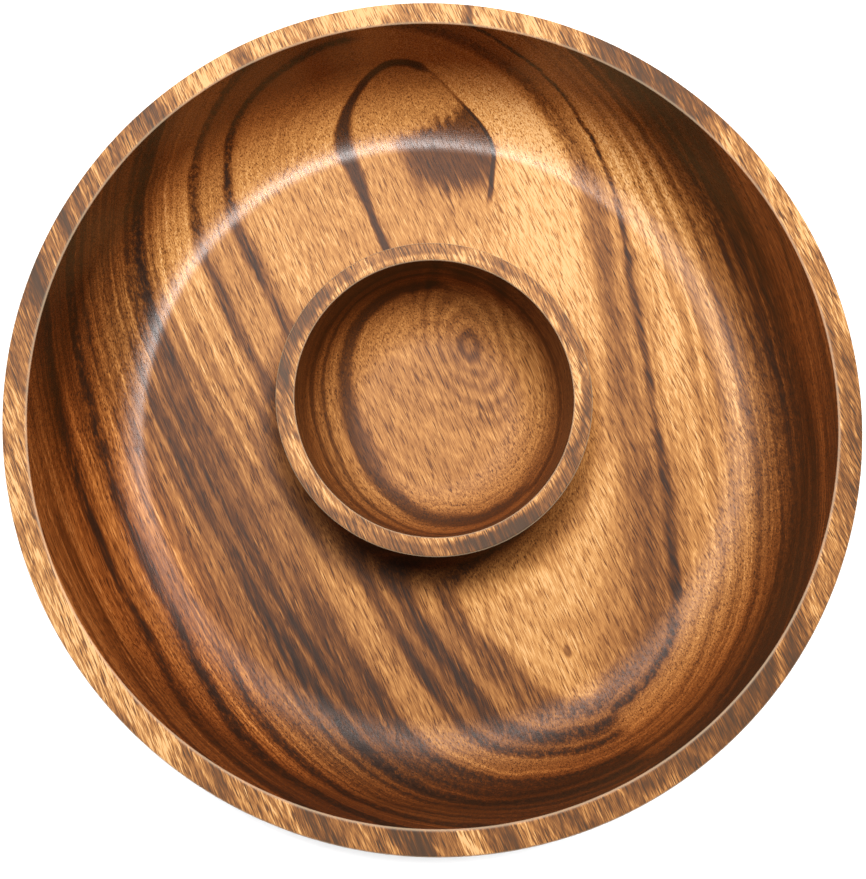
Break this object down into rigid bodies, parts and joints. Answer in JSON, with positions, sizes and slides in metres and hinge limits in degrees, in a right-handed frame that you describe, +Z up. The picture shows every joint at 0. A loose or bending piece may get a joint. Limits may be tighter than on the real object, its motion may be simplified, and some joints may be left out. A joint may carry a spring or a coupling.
{
  "type": "chip and dip server",
  "caption": "Round turned wooden serving bowl with steep walls, a flat rim and a dip cup standing in the middle of a wide chip trough.",
  "frame": {"origin": "middle of the foot, on the surface that the server stands on", "axes": "+Z up along the lathe axis; the section is the same all round, and X and Y only fix the direction of the wood's grain"},
  "size_m": [0.3558, 0.3558, 0.067],
  "materials": {
    "wood": "clear satin lacquer over strongly figured golden to dark brown hardwood"
  },
  "bodies": {
    "root": {"bowl": "wood", "dip_cup": "wood"}
  },
  "joints": []
}
